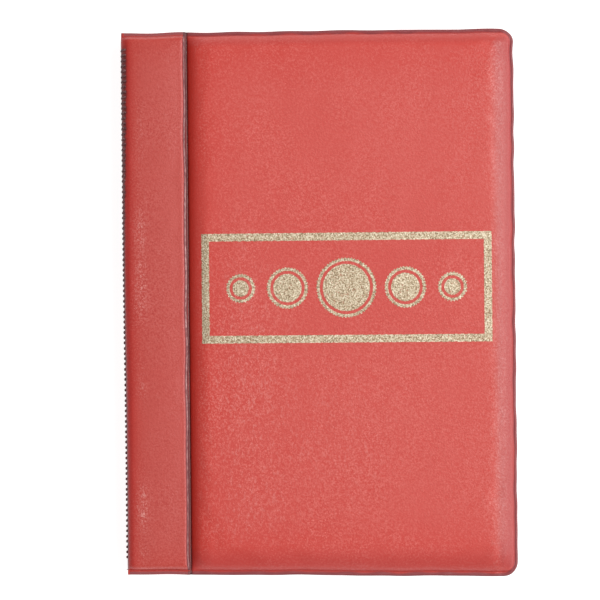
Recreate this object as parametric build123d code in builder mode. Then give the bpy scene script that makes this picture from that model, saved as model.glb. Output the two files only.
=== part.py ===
from build123d import *
import os

# Coin album: a padded vinyl binder with ten pocket leaves, bound along the left
# edge by a stitched block under a wide binding strip.
# Frame: album closed, lying on its back cover. +Z up, +Y towards the head of the
# album, -X towards the spine. Origin under the centre, on the resting face.
# All sizes in millimetres.

os.makedirs("parts", exist_ok=True)

# ---------------------------------------------------------------- driving sizes
album_h = 200.0  # head to tail, along Y
x_spine = -71.5  # spine face of the bound block
x_fore = 72.0  # fore-edge of both covers
x_strip = -48.0  # free edge of the binding strip, where the leaves start to bend
corner_r = 5.0  # fore-edge corners of both covers
stitch_proud = 0.5  # thread standing out of the spine face

vinyl_t = 0.8  # outer vinyl
lining_t = 0.4  # inner vinyl
weld_w = 1.7  # flat welded flange round each cover
wall_w = 3.5  # flange plus vinyl side wall, out to the cavity
crown_r = 2.5  # rounding of the padded edges

# back cover, from the resting face up
back_flange_z = 2.4
back_top_z = 3.0
back_foam_t = 0.8
back_board_t = 1.4

# leaves
n_leaves = 10
leaf_pitch = 0.9
leaf_z0 = 3.7  # underside of the lowest leaf
film_t = 0.2
divider_t = 0.3
x_leaf = -40.0  # end of the flexible gutter, start of the pocket field
x_leaf_fore = 68.0
leaf_h = 190.0
pocket_cols, pocket_rows = 3, 4
pocket_pitch_x, pocket_pitch_y = 34.4, 46.2
slot_w, slot_h = 27.0, 1.2

# front cover, from the lining up
front_lining_z = 13.2
front_z = 13.6  # underside of the welded flange
front_flange_t = 0.8
front_board_t = 1.5
crown_z = 18.0  # top of the padding and of the binding strip

# foil stamp
foil_t = 0.05
foil_x0, foil_x1 = -42.6, 63.2
foil_y0, foil_y1 = -14.5, 25.6
foil_bar = 2.8

# spine stitching
stitch_pitch = 1.92
n_stitches = 98
stitch_z0, stitch_z1 = 1.4, 16.2

plan_w = x_fore - x_spine
plan_cx = (x_fore + x_spine) / 2


def export(piece, name):
    piece.part.label = name
    export_step(piece.part, f"parts/{name}.step")


# ---------------------------------------------------------------- back cover
# Outer vinyl: a shallow tray with a flat welded flange round its open side.
with BuildPart() as back_cover_skin:
    with BuildSketch(Plane.XY.offset(back_flange_z)):
        with Locations((plan_cx, 0)):
            Rectangle(plan_w, album_h)
        fillet(vertices().group_by(Axis.X)[-1], radius=corner_r)
    extrude(amount=back_top_z - back_flange_z)
    with BuildSketch(Plane.XY):
        with Locations(((x_spine + x_fore - weld_w) / 2, 0)):
            Rectangle(plan_w - weld_w, album_h - 2 * weld_w)
        fillet(vertices().group_by(Axis.X)[-1], radius=corner_r - weld_w)
    extrude(amount=back_flange_z)
    fillet(faces().sort_by(Axis.Z)[0].edges(), radius=1.0)
    # cavity for the foam and the board
    with BuildSketch(Plane.XY.offset(vinyl_t)):
        with Locations(((x_spine + 1.5 + x_fore - wall_w) / 2, 0)):
            Rectangle(plan_w - 1.5 - wall_w, album_h - 2 * wall_w)
    extrude(amount=back_top_z - vinyl_t, mode=Mode.SUBTRACT)
export(back_cover_skin, "back_cover_skin")

back_cav_w = plan_w - 1.5 - wall_w
back_cav_cx = (x_spine + 1.5 + x_fore - wall_w) / 2

with BuildPart() as back_cover_foam:
    with BuildSketch(Plane.XY.offset(vinyl_t)):
        with Locations((back_cav_cx, 0)):
            Rectangle(back_cav_w, album_h - 2 * wall_w)
    extrude(amount=back_foam_t)
export(back_cover_foam, "back_cover_foam")

# The card board stops at the strip; a narrower board stiffens the bound edge.
with BuildPart() as back_cover_board:
    with BuildSketch(Plane.XY.offset(vinyl_t + back_foam_t)):
        with Locations(((x_strip + 2 + x_fore - wall_w) / 2, 0)):
            Rectangle(x_fore - wall_w - x_strip - 2, album_h - 2 * wall_w)
    extrude(amount=back_board_t)
export(back_cover_board, "back_cover_board")

with BuildPart() as back_strip_board:
    with BuildSketch(Plane.XY.offset(vinyl_t + back_foam_t)):
        with Locations(((x_spine + 1.5 + x_strip) / 2, 0)):
            Rectangle(x_strip - x_spine - 1.5, album_h - 2 * wall_w)
    extrude(amount=back_board_t)
export(back_strip_board, "back_strip_board")

with BuildPart() as back_cover_lining:
    with BuildSketch(Plane.XY.offset(back_top_z)):
        with Locations((plan_cx, 0)):
            Rectangle(plan_w, album_h)
        fillet(vertices().group_by(Axis.X)[-1], radius=corner_r)
    extrude(amount=lining_t)
export(back_cover_lining, "back_cover_lining")

# ---------------------------------------------------------------- bound block
# Card spacers between the leaf margins bring the block up to cover height.
block_x0 = x_spine + vinyl_t
margin_t = 0.5
margin_dz = 0.1
block_w = x_strip - 0.2 - block_x0
block_cx = (x_strip - 0.2 + block_x0) / 2

with BuildPart() as binding_spacers:
    z_low = back_top_z + lining_t
    for k in range(n_leaves):
        z_margin = leaf_z0 + k * leaf_pitch + margin_dz
        with BuildSketch(Plane.XY.offset(z_low)):
            with Locations((block_cx, 0)):
                Rectangle(block_w, leaf_h)
        extrude(amount=z_margin - z_low)
        z_low = z_margin + margin_t
    with BuildSketch(Plane.XY.offset(z_low)):
        with Locations((block_cx, 0)):
            Rectangle(block_w, leaf_h)
    extrude(amount=front_z - z_low)
export(binding_spacers, "binding_spacers")

# The front cover's vinyl runs on under the strip as a stitched tab.
with BuildPart() as front_cover_tab:
    with BuildSketch(Plane.XY.offset(front_z)):
        with Locations((block_cx, 0)):
            Rectangle(block_w, album_h - 2 * weld_w)
    extrude(amount=front_flange_t)
export(front_cover_tab, "front_cover_tab")

strip_z0 = front_z + front_flange_t

# Binding strip: a vinyl channel turned over a card board with a thin foam.
with BuildPart() as binding_strip_skin:
    with BuildSketch(Plane.XY.offset(strip_z0)):
        with Locations(((x_spine + x_strip) / 2, 0)):
            Rectangle(x_strip - x_spine, album_h)
    extrude(amount=crown_z - strip_z0)
    fillet(
        faces().sort_by(Axis.Z)[-1].edges().filter_by(Axis.Y),
        radius=1.6,
    )
    with BuildSketch(Plane.XY.offset(strip_z0)):
        with Locations(((x_spine + x_strip) / 2, 0)):
            Rectangle(x_strip - x_spine - 2 * vinyl_t, album_h - 2 * weld_w)
    extrude(amount=crown_z - strip_z0 - vinyl_t, mode=Mode.SUBTRACT)
export(binding_strip_skin, "binding_strip_skin")

strip_in_w = x_strip - x_spine - 2 * vinyl_t
strip_board_t = 1.6
strip_board_x0, strip_board_x1 = x_spine + 1.2, x_strip - 2.0
strip_board_h = album_h - 2 * wall_w
with BuildPart() as binding_strip_board:
    with BuildSketch(Plane.XY.offset(strip_z0)):
        with Locations(((strip_board_x0 + strip_board_x1) / 2, 0)):
            Rectangle(strip_board_x1 - strip_board_x0, strip_board_h)
    extrude(amount=strip_board_t)
export(binding_strip_board, "binding_strip_board")

with BuildPart() as binding_strip_foam:
    with BuildSketch(Plane.XY.offset(strip_z0 + strip_board_t)):
        with Locations(((x_spine + x_strip) / 2, 0)):
            Rectangle(strip_in_w, album_h - 2 * weld_w)
    extrude(amount=crown_z - vinyl_t - strip_z0 - strip_board_t)
export(binding_strip_foam, "binding_strip_foam")

# Spine tape between the back cover and the strip.
with BuildPart() as spine_tape:
    with BuildSketch(Plane.XY.offset(back_top_z + lining_t)):
        with Locations((x_spine + vinyl_t / 2, 0)):
            Rectangle(vinyl_t, album_h)
    extrude(amount=strip_z0 - back_top_z - lining_t)
export(spine_tape, "spine_tape")

# Whip stitching down the spine face: a seam band with one standing loop a stitch.
stitch_run = (n_stitches - 1) * stitch_pitch
with BuildPart() as spine_stitching:
    with BuildSketch(Plane.XY.offset(stitch_z0)):
        with Locations((x_spine - 0.1, 0)):
            Rectangle(0.2, stitch_run + 1.2)
        with Locations((x_spine - stitch_proud / 2, 0)):
            with GridLocations(1, stitch_pitch, 1, n_stitches):
                Rectangle(stitch_proud, 1.0)
    extrude(amount=stitch_z1 - stitch_z0)
export(spine_stitching, "spine_stitching")

# ---------------------------------------------------------------- front cover
cover_x0 = x_strip + 0.2
crown_x0 = x_strip + 2.0
cavity_x0 = crown_x0 + 3.0
cavity_x1 = x_fore - wall_w

with BuildPart() as front_cover_skin:
    with BuildSketch(Plane.XY.offset(front_z)):
        with Locations(((cover_x0 + x_fore) / 2, 0)):
            Rectangle(x_fore - cover_x0, album_h)
        fillet(vertices().group_by(Axis.X)[-1], radius=corner_r)
    extrude(amount=front_flange_t)
    with BuildSketch(Plane.XY.offset(front_z + front_flange_t)):
        with Locations(((crown_x0 + x_fore - weld_w) / 2, 0)):
            Rectangle(x_fore - weld_w - crown_x0, album_h - 2 * weld_w)
        fillet(vertices().group_by(Axis.X)[-1], radius=corner_r - weld_w)
    extrude(amount=crown_z - front_z - front_flange_t)
    fillet(faces().sort_by(Axis.Z)[-1].edges(), radius=crown_r)
    # cavity for the board and the foam
    with BuildSketch(Plane.XY.offset(front_z)):
        with Locations(((cavity_x0 + cavity_x1) / 2, 0)):
            Rectangle(cavity_x1 - cavity_x0, album_h - 2 * wall_w)
    extrude(amount=crown_z - vinyl_t - front_z, mode=Mode.SUBTRACT)
export(front_cover_skin, "front_cover_skin")

with BuildPart() as front_cover_board:
    with BuildSketch(Plane.XY.offset(front_z)):
        with Locations(((cavity_x0 + cavity_x1) / 2, 0)):
            Rectangle(cavity_x1 - cavity_x0, album_h - 2 * wall_w)
    extrude(amount=front_board_t)
export(front_cover_board, "front_cover_board")

with BuildPart() as front_cover_foam:
    with BuildSketch(Plane.XY.offset(front_z + front_board_t)):
        with Locations(((cavity_x0 + cavity_x1) / 2, 0)):
            Rectangle(cavity_x1 - cavity_x0, album_h - 2 * wall_w)
    extrude(amount=crown_z - vinyl_t - front_z - front_board_t)
export(front_cover_foam, "front_cover_foam")

lining_x0 = x_strip + 4.5
with BuildPart() as front_cover_lining:
    with BuildSketch(Plane.XY.offset(front_lining_z)):
        with Locations(((lining_x0 + x_fore) / 2, 0)):
            Rectangle(x_fore - lining_x0, album_h)
        fillet(vertices().group_by(Axis.X)[-1], radius=corner_r)
    extrude(amount=front_z - front_lining_z)
export(front_cover_lining, "front_cover_lining")

# Foil stamp on the crown: a rectangular border round a row of plain roundels.
foil_cx, foil_cy = (foil_x0 + foil_x1) / 2, (foil_y0 + foil_y1) / 2
roundels = [(0.0, 11.0), (21.5, 7.6), (38.6, 5.4)]  # offset from centre, radius
with BuildPart() as front_foil_stamp:
    with BuildSketch(Plane.XY.offset(crown_z)):
        with Locations((foil_cx, foil_cy)):
            Rectangle(foil_x1 - foil_x0, foil_y1 - foil_y0)
            Rectangle(
                foil_x1 - foil_x0 - 2 * foil_bar,
                foil_y1 - foil_y0 - 2 * foil_bar,
                mode=Mode.SUBTRACT,
            )
        for dx, r in roundels:
            for side in (-1, 1) if dx else (1,):
                with Locations((foil_cx + side * dx, foil_cy)):
                    Circle(r)
                    Circle(r - 1.3, mode=Mode.SUBTRACT)
                    Circle(r - 2.4)
    extrude(amount=foil_t)
export(front_foil_stamp, "front_foil_stamp")

# ---------------------------------------------------------------- leaves
# Leaf 1 is the first under the front cover. Each leaf is a coloured divider
# between two clear pocket films, welded on a 3 by 4 grid; every pocket is open
# along one slot at its head. The margin is the part of the leaf held in the
# block, with the flexible gutter it turns on.
leaf_w = x_leaf_fore - x_leaf
leaf_cx = (x_leaf_fore + x_leaf) / 2
field_cx = leaf_cx + 0.6

for k in range(1, n_leaves + 1):
    z = leaf_z0 + (n_leaves - k) * leaf_pitch

    with BuildPart() as leaf_margin:
        with BuildSketch(Plane.XY.offset(z + margin_dz)):
            with Locations(((block_x0 + x_leaf - 0.2) / 2, 0)):
                Rectangle(x_leaf - 0.2 - block_x0, leaf_h)
        extrude(amount=margin_t)
    export(leaf_margin, f"page_{k:02d}_margin")

    with BuildPart() as back_film:
        with BuildSketch(Plane.XY.offset(z)):
            with Locations((leaf_cx, 0)):
                Rectangle(leaf_w, leaf_h)
            fillet(vertices().group_by(Axis.X)[-1], radius=3.0)
            with Locations((field_cx, pocket_pitch_y / 2 - 3.0)):
                with GridLocations(
                    pocket_pitch_x, pocket_pitch_y, pocket_cols, pocket_rows
                ):
                    SlotOverall(slot_w, slot_h, mode=Mode.SUBTRACT)
        extrude(amount=film_t)
    export(back_film, f"page_{k:02d}_back_film")

    with BuildPart() as divider:
        with BuildSketch(Plane.XY.offset(z + film_t)):
            with Locations((leaf_cx, 0)):
                Rectangle(leaf_w, leaf_h)
            fillet(vertices().group_by(Axis.X)[-1], radius=3.0)
        extrude(amount=divider_t)
    export(divider, f"page_{k:02d}_divider")

    with BuildPart() as front_film:
        with BuildSketch(Plane.XY.offset(z + film_t + divider_t)):
            with Locations((leaf_cx, 0)):
                Rectangle(leaf_w, leaf_h)
            fillet(vertices().group_by(Axis.X)[-1], radius=3.0)
            with Locations((field_cx, pocket_pitch_y / 2 - 3.0)):
                with GridLocations(
                    pocket_pitch_x, pocket_pitch_y, pocket_cols, pocket_rows
                ):
                    SlotOverall(slot_w, slot_h, mode=Mode.SUBTRACT)
        extrude(amount=film_t)
    export(front_film, f"page_{k:02d}_front_film")
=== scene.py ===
import math

import bpy
import numpy as np
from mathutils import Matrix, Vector


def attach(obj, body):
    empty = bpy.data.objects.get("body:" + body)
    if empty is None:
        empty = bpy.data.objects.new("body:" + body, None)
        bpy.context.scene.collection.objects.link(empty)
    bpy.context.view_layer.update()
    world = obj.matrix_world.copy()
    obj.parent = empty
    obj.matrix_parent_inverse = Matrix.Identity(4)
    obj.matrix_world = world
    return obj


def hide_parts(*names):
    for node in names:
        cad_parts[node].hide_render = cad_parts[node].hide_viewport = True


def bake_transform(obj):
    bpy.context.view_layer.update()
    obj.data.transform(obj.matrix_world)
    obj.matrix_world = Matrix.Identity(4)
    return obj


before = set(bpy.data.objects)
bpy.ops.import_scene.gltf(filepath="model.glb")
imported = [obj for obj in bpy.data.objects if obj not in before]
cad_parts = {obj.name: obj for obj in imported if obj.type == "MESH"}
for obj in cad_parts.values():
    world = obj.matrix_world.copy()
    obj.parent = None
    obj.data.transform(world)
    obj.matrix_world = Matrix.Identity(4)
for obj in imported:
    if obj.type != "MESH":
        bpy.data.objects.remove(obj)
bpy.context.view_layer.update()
MM = 0.001

# --------------------------------------------------------------- places, in mm
X_SPINE, X_STRIP, X_FORE, HALF = -71.5, -48.0, 72.0, 100.0
FLANGE = 14.4  # top of the front cover's weld
CROWN = 17.9
CORNER = 5.2
PITCH = 1.92  # stitches

# ------------------------------------------------------------------ camera
scene = bpy.context.scene
cam_data = bpy.data.cameras.new("camera")
cam_data.lens = 100.38
cam_data.sensor_width = 36.0
cam = bpy.data.objects.new("camera", cam_data)
scene.collection.objects.link(cam)
scene.camera = cam
cam.location = (0.01594, 0.0007, 0.6281)
cam.rotation_euler = (math.radians(0.023), math.radians(2.122), math.radians(-0.5286))
scene.view_settings.view_transform = "Standard"


# ------------------------------------------------------------------ helpers
def waves(seed, n, lam0, lam1):
    rng = np.random.default_rng(seed)
    k = 2 * np.pi / rng.uniform(lam0, lam1, n)
    a = rng.uniform(0, 2 * np.pi, n)
    p = rng.uniform(0, 2 * np.pi, n)
    w = rng.uniform(0.6, 1.0, n)
    w /= np.sqrt((w**2).sum() / 2)

    def f(x, y=0.0):
        out = 0.0
        for i in range(n):
            out = out + w[i] * np.sin(
                k[i] * (np.cos(a[i]) * x + np.sin(a[i]) * y) + p[i]
            )
        return out

    return f


def waves1(seed, n, lam0, lam1):
    rng = np.random.default_rng(seed)
    k = 2 * np.pi / rng.uniform(lam0, lam1, n)
    p = rng.uniform(0, 2 * np.pi, n)
    w = rng.uniform(0.6, 1.0, n)
    w /= np.sqrt((w**2).sum() / 2)

    def f(t):
        out = 0.0
        for i in range(n):
            out = out + w[i] * np.sin(k[i] * t + p[i])
        return out

    return f


def smooth(a, b, t):
    u = np.clip((t - a) / (b - a), 0, 1)
    return u * u * (3 - 2 * u)


def gauss(t, s):
    return np.exp(-((t / s) ** 2))


def lines(*runs):
    """Grid lines from runs of (start, end, step), ends shared."""
    out = []
    for a, b, s in runs:
        n = max(1, int(round(abs(b - a) / s)))
        seg = np.linspace(a, b, n + 1)
        out.extend(seg if not out else seg[1:])
    return np.array(out)


def make(name, verts, faces, mats, index=None, attrs=None, shade=True, sharp=48):
    me = bpy.data.meshes.new(name)
    me.from_pydata((np.asarray(verts) * MM).tolist(), [], faces)
    for m in mats:
        me.materials.append(m)
    if index is not None:
        me.polygons.foreach_set("material_index", np.asarray(index, dtype=np.int32))
    for key, val in (attrs or {}).items():
        at = me.attributes.new(key, "FLOAT", "POINT")
        at.data.foreach_set("value", np.asarray(val, dtype=np.float32))
    if shade:
        me.polygons.foreach_set("use_smooth", np.ones(len(me.polygons), dtype=bool))
    me.update()
    if sharp:
        me.set_sharp_from_angle(angle=math.radians(sharp))
    ob = bpy.data.objects.new(name, me)
    scene.collection.objects.link(ob)
    return ob


def grid_normals(P):
    du = np.gradient(P, axis=1)
    dv = np.gradient(P, axis=0)
    n = np.cross(du, dv)
    n /= np.linalg.norm(n, axis=2, keepdims=True) + 1e-12
    return n


def slab(name, P, t, mats, attrs=None, index_fn=None, inner=None, hole=None):
    """Closed sheet: outer surface P (rows, cols, 3) with its normals outward, thickness t inward."""
    ny, nx, _ = P.shape
    N = grid_normals(P)
    Q = P - N * t if inner is None else inner
    verts = np.concatenate([P.reshape(-1, 3), Q.reshape(-1, 3)])
    o = ny * nx
    faces, idx = [], []
    keep = np.ones((ny - 1, nx - 1), bool) if hole is None else ~hole
    for j in range(ny - 1):
        for i in range(nx - 1):
            if not keep[j, i]:
                continue
            a, b, c, d = (
                j * nx + i,
                j * nx + i + 1,
                (j + 1) * nx + i + 1,
                (j + 1) * nx + i,
            )
            m = index_fn(j, i) if index_fn else 0
            faces.append((a, b, c, d))
            idx.append(m)
            faces.append((o + d, o + c, o + b, o + a))
            idx.append(m)

    def wall(a, b, m):
        faces.append((b, a, o + a, o + b))
        idx.append(m)

    # a wall on each side of a kept face whose neighbour is missing
    for j in range(ny - 1):
        for i in range(nx - 1):
            if not keep[j, i]:
                continue
            m = index_fn(j, i) if index_fn else 0
            a, b, c, d = (
                j * nx + i,
                j * nx + i + 1,
                (j + 1) * nx + i + 1,
                (j + 1) * nx + i,
            )
            if j == 0 or not keep[j - 1, i]:
                wall(a, b, m)
            if i == nx - 2 or not keep[j, i + 1]:
                wall(b, c, m)
            if j == ny - 2 or not keep[j + 1, i]:
                wall(c, d, m)
            if i == 0 or not keep[j, i - 1]:
                wall(d, a, m)
    at = {
        k: np.concatenate([v.reshape(-1), v.reshape(-1)])
        for k, v in (attrs or {}).items()
    }
    if hole is not None:
        used = np.zeros(len(verts), bool)
        used[np.array([v for f in faces for v in f])] = True
        remap = np.cumsum(used) - 1
        faces = [tuple(int(remap[v]) for v in f) for f in faces]
        verts = verts[used]
        at = {k: v[used] for k, v in at.items()}
    return make(name, verts, faces, mats, idx, at)


def round_corners(X, Y, x_fore, half, r):
    """Maps the square fore-edge corners of a grid on to arcs of radius r. Returns X, Y and the distance in from the outline."""
    X, Y = X.copy(), Y.copy()
    ux = (X - (x_fore - r)) / r
    vy = (np.abs(Y) - (half - r)) / r
    m = (ux > 0) & (vy > 0)
    u, v = ux[m], vy[m]
    X[m] = x_fore - r + r * u * np.sqrt(1 - v * v / 2)
    Y[m] = np.sign(Y[m]) * (half - r + r * v * np.sqrt(1 - u * u / 2))
    cxr = X - (x_fore - r)
    cyr = np.abs(Y) - (half - r)
    inside = (cxr > 0) & (cyr > 0)
    d = np.minimum(x_fore - X, half - np.abs(Y))
    d = np.where(inside, r - np.hypot(cxr, cyr), d)
    return X, Y, np.maximum(d, 0)


# ---------------------------------------------------------------- materials
def new_mat(name):
    m = bpy.data.materials.new(name)
    m.use_nodes = True
    nt = m.node_tree
    nt.nodes.clear()
    out = nt.nodes.new("ShaderNodeOutputMaterial")
    bsdf = nt.nodes.new("ShaderNodeBsdfPrincipled")
    nt.links.new(bsdf.outputs["BSDF"], out.inputs["Surface"])
    return m, nt, bsdf, out


def tex(nt, kind, scale, coord=None, **kw):
    n = nt.nodes.new(kind)
    if "Scale" in n.inputs:
        n.inputs["Scale"].default_value = scale
    for k, v in kw.items():
        if k in n.inputs:
            n.inputs[k].default_value = v
        else:
            setattr(n, k, v)
    if coord is not None:
        nt.links.new(coord, n.inputs["Vector"])
    return n


def coords(nt, scale=(1, 1, 1)):
    tc = nt.nodes.new("ShaderNodeTexCoord")
    mp = nt.nodes.new("ShaderNodeMapping")
    mp.inputs["Scale"].default_value = scale
    nt.links.new(tc.outputs["Object"], mp.inputs["Vector"])
    return mp.outputs["Vector"]


def ramp(nt, src, stops):
    r = nt.nodes.new("ShaderNodeValToRGB")
    cr = r.color_ramp
    while len(cr.elements) < len(stops):
        cr.elements.new(0.5)
    for e, (p, c) in zip(cr.elements, stops):
        e.position = p
        e.color = c if len(c) == 4 else (*c, 1)
    nt.links.new(src, r.inputs["Fac"])
    return r.outputs["Color"]


def grey(v):
    return (v, v, v, 1)


def mix(nt, fac, a, b, mode="MIX"):
    n = nt.nodes.new("ShaderNodeMix")
    n.data_type = "RGBA"
    n.blend_type = mode
    if isinstance(fac, (int, float)):
        n.inputs["Factor"].default_value = fac
    else:
        nt.links.new(fac, n.inputs["Factor"])
    for sock, v in ((n.inputs["A"], a), (n.inputs["B"], b)):
        pass
    ia = [s for s in n.inputs if s.name == "A" and s.type == "RGBA"][0]
    ib = [s for s in n.inputs if s.name == "B" and s.type == "RGBA"][0]
    for sock, v in ((ia, a), (ib, b)):
        if isinstance(v, tuple):
            sock.default_value = v if len(v) == 4 else (*v, 1)
        else:
            nt.links.new(v, sock)
    return [s for s in n.outputs if s.type == "RGBA"][0]


def maths(nt, op, a, b=None, c=None):
    n = nt.nodes.new("ShaderNodeMath")
    n.operation = op
    for i, v in enumerate((a, b, c)):
        if v is None:
            continue
        if isinstance(v, (int, float)):
            n.inputs[i].default_value = v
        else:
            nt.links.new(v, n.inputs[i])
    return n.outputs[0]


def attr(nt, name):
    n = nt.nodes.new("ShaderNodeAttribute")
    n.attribute_name = name
    return n.outputs["Fac"]


def bump(nt, height, strength, distance, normal=None):
    n = nt.nodes.new("ShaderNodeBump")
    n.inputs["Strength"].default_value = strength
    n.inputs["Distance"].default_value = distance
    nt.links.new(height, n.inputs["Height"])
    if normal is not None:
        nt.links.new(normal, n.inputs["Normal"])
    return n.outputs["Normal"]


def vinyl(name, base, crease_shade, mottle_and_sheen, rim, rough=0.46, grain=1.0, use_attrs=True):
    """Leather-grained soft vinyl. The attributes colour its welds, grain wear and stitched edge, and paint in shade,
    sheen and glints.
    """
    m, nt, bsdf, _ = new_mat(name)
    co = coords(nt)
    peb = tex(nt, "ShaderNodeTexVoronoi", 1650.0, co, feature="SMOOTH_F1", Smoothness=0.4)
    fine = tex(nt, "ShaderNodeTexNoise", 3000.0, co, Detail=2.0, Roughness=0.6)
    mid = tex(nt, "ShaderNodeTexNoise", 1350.0, co, Detail=3.0, Roughness=0.7)
    patch = tex(nt, "ShaderNodeTexNoise", 42.0, co, Detail=4.0, Roughness=0.6)
    broad = tex(nt, "ShaderNodeTexNoise", 17.0, co, Detail=2.0, Roughness=0.5)
    tone = ramp(nt, broad.outputs["Fac"], [(0.32, grey(0.0)), (0.70, grey(0.12))])
    body = base
    if use_attrs:
        # painted light: below the middle of its range the vinyl is painted darker as shade, above it lighter as sheen
        shade_tone = tuple(c * k for c, k in zip(base, (0.98, 0.64, 0.56)))
        sheen_tone = tuple(a + (b - a) * 0.42 for a, b in zip(base, mottle_and_sheen))
        body = ramp(nt, attr(nt, "painted_light"), [(0.0, shade_tone), (0.5, base), (1.0, sheen_tone)])
    tone = mix(nt, tone, body, mottle_and_sheen)
    amt = ramp(nt, patch.outputs["Fac"], [(0.36, grey(0.30)), (0.66, grey(1.0))])
    lift = amt
    if use_attrs:
        lift = maths(nt, "ADD", amt, maths(nt, "MULTIPLY", attr(nt, "glints_and_wear"), 1.6))
    # painted highlight on the grain tops and painted shade in their valleys
    tops = ramp(nt, mid.outputs["Fac"], [(0.50, grey(0.0)), (0.68, grey(0.62))])
    tone = mix(nt, maths(nt, "MULTIPLY", tops, lift), tone, mottle_and_sheen)
    low = ramp(nt, mid.outputs["Fac"], [(0.33, grey(0.62)), (0.50, grey(0.0))])
    tone = mix(nt, maths(nt, "MULTIPLY", low, amt), tone, crease_shade)
    # painted glints: fine bright specks over the grain
    spark = ramp(nt, fine.outputs["Fac"], [(0.64, grey(0.0)), (0.74, grey(0.85))])
    spark = maths(nt, "MULTIPLY", spark, lift)
    tone = mix(nt, spark, tone, tuple(min(1.0, c * 1.25 + 0.10) for c in mottle_and_sheen))
    if use_attrs:
        # lighter scuff lines where the grain is rubbed, which also paint glints along the same marks
        scuff = tex(nt, "ShaderNodeTexNoise", 1250.0, coords(nt, (1.0, 0.42, 1.0)), Detail=2.0, Roughness=0.5, Distortion=1.2)
        line = ramp(nt, scuff.outputs["Fac"], [(0.57, grey(0.0)), (0.64, grey(0.55))])
        tone = mix(nt, maths(nt, "MULTIPLY", line, attr(nt, "glints_and_wear")), tone, (0.82, 0.40, 0.36))
        # painted shade: grooves, valleys and roll-offs darkened towards the shade colour
        tone = mix(nt, attr(nt, "painted_shade"), tone, crease_shade)
        # the rim colour is the welded edge's own colour; on the front cover it also paints shade down the fore edge
        # and along the head and tail, and on the strip's lip
        tone = mix(nt, attr(nt, "rim"), tone, rim)
        # near-black thread colour in the stitched band, which also paints the shadow between and under the stitches
        # and along the strip's foot
        tone = mix(nt, attr(nt, "seam_and_shadow"), tone, (0.060, 0.009, 0.009))
    nt.links.new(tone, bsdf.inputs["Base Color"])
    glint = ramp(nt, mid.outputs["Fac"], [(0.45, grey(rough + 0.07)), (0.70, grey(rough - 0.10))])
    nt.links.new(glint, bsdf.inputs["Roughness"])
    bsdf.inputs["Specular IOR Level"].default_value = 0.5
    b = bump(nt, peb.outputs["Distance"], 0.40 * grain, -0.00009)
    b = bump(nt, mid.outputs["Fac"], 0.60 * grain, 0.00012, b)
    nt.links.new(b, bsdf.inputs["Normal"])
    return m


RED = (0.615, 0.064, 0.050)
# the second red is painted shade for grooves and valleys
RED_SHADE = (0.600, 0.028, 0.014)
# the lightest red is the grain's mottle and its painted highlights
RED_MOTTLE_SHEEN = (0.760, 0.190, 0.160)
RIM = (0.270, 0.052, 0.058)
M_VINYL = vinyl("red_vinyl", RED, RED_SHADE, RED_MOTTLE_SHEEN, RIM)
M_STRIP = vinyl(
    "strip_vinyl", (0.540, 0.067, 0.053), (0.42, 0.012, 0.008), (0.66, 0.19, 0.165), (0.30, 0.075, 0.080), rough=0.42
)
M_LINING = vinyl(
    "lining_vinyl", (0.47, 0.045, 0.036), (0.25, 0.014, 0.012), (0.56, 0.09, 0.075), RIM, rough=0.5, grain=0.45
)


def cut_edge():
    """The strip's thick cut edge: the turned vinyl, pressed on its backing."""
    m, nt, bsdf, _ = new_mat("cut_edge")
    co = coords(nt, (1, 0.35, 1))
    n = tex(nt, "ShaderNodeTexNoise", 1500.0, co, Detail=4.0, Roughness=0.65)
    c = ramp(
        nt,
        n.outputs["Fac"],
        [(0.32, (0.13, 0.030, 0.034)), (0.52, (0.23, 0.070, 0.076)), (0.72, (0.36, 0.15, 0.15))],
    )
    rough_rim = ramp(nt, n.outputs["Fac"], [(0.40, (0.30, 0.12, 0.12)), (0.60, (0.80, 0.52, 0.50))])
    c = mix(nt, attr(nt, "rim"), c, rough_rim)
    # painted shadow: near black in the gap at the strip's foot and in the groove behind its lip
    c = mix(nt, attr(nt, "painted_shade"), c, (0.055, 0.008, 0.010))
    nt.links.new(c, bsdf.inputs["Base Color"])
    bsdf.inputs["Roughness"].default_value = 0.6
    nt.links.new(bump(nt, n.outputs["Fac"], 0.6, 0.00025), bsdf.inputs["Normal"])
    return m


M_CUT = cut_edge()


def foil():
    """Hot-stamped foil, broken by the grain so that the vinyl shows in specks."""
    m, nt, bsdf, out = new_mat("gold_foil")
    co = coords(nt)
    n = tex(nt, "ShaderNodeTexNoise", 1900.0, co, Detail=3.0, Roughness=0.75)
    n2 = tex(nt, "ShaderNodeTexNoise", 1150.0, co, Detail=3.0, Roughness=0.6)
    v = tex(nt, "ShaderNodeTexVoronoi", 1600.0, co)
    c = ramp(
        nt,
        n.outputs["Fac"],
        [
            (0.34, (0.17, 0.095, 0.045)),
            (0.45, (0.45, 0.33, 0.20)),
            (0.54, (0.68, 0.56, 0.39)),
            (0.66, (0.95, 0.88, 0.70)),
        ],
    )
    miss = ramp(nt, n2.outputs["Fac"], [(0.60, grey(0.0)), (0.68, grey(0.8))])
    c = mix(nt, miss, c, (0.50, 0.19, 0.12))
    nt.links.new(c, bsdf.inputs["Base Color"])
    bsdf.inputs["Metallic"].default_value = 0.30
    r = ramp(nt, v.outputs["Distance"], [(0.1, grey(0.34)), (0.8, grey(0.62))])
    nt.links.new(r, bsdf.inputs["Roughness"])
    b = bump(nt, v.outputs["Distance"], 0.6, -0.00012)
    b = bump(nt, n.outputs["Fac"], 0.6, 0.00014, b)
    nt.links.new(b, bsdf.inputs["Normal"])
    return m


M_FOIL = foil()


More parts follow.
